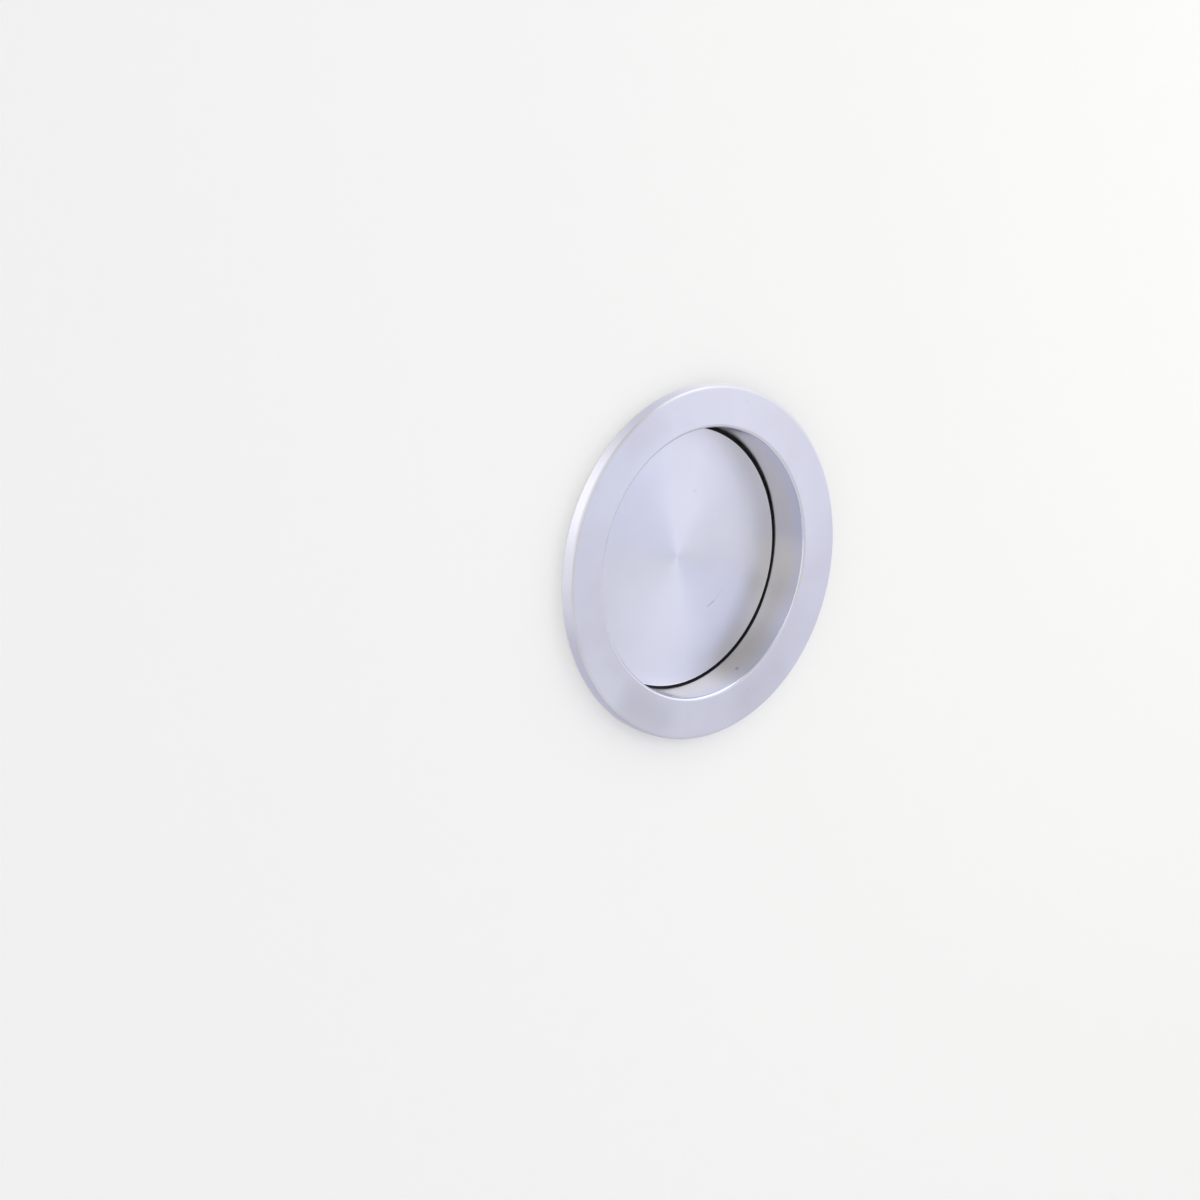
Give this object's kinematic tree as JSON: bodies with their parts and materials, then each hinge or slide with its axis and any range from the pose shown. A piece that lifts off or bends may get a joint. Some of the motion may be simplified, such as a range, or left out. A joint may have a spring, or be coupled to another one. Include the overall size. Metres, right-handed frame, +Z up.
{
  "type": "pocket door pull",
  "caption": "Round flush pull for a sliding pocket door: a satin flanged cup let into the door, closed by a press-in cover disc gripped in a black rubber ring.",
  "frame": {"origin": "on the pull's axis, in the plane of the door's face, where the flange's back seats", "axes": "+Y along the pull's axis, from its front into the door; +Z up; +X to the right seen from the front"},
  "size_m": [0.065, 0.0222, 0.065],
  "materials": {
    "satin_metal": "satin, fine even grain",
    "turned_metal": "fine circular turning lines",
    "black_rubber": "matt moulded",
    "screw_steel": "bright plated"
  },
  "bodies": {
    "root": {"pull_body": "satin_metal", "cover_disc": "turned_metal", "seal_ring": "black_rubber", "fixing_screws": "screw_steel"}
  },
  "joints": []
}
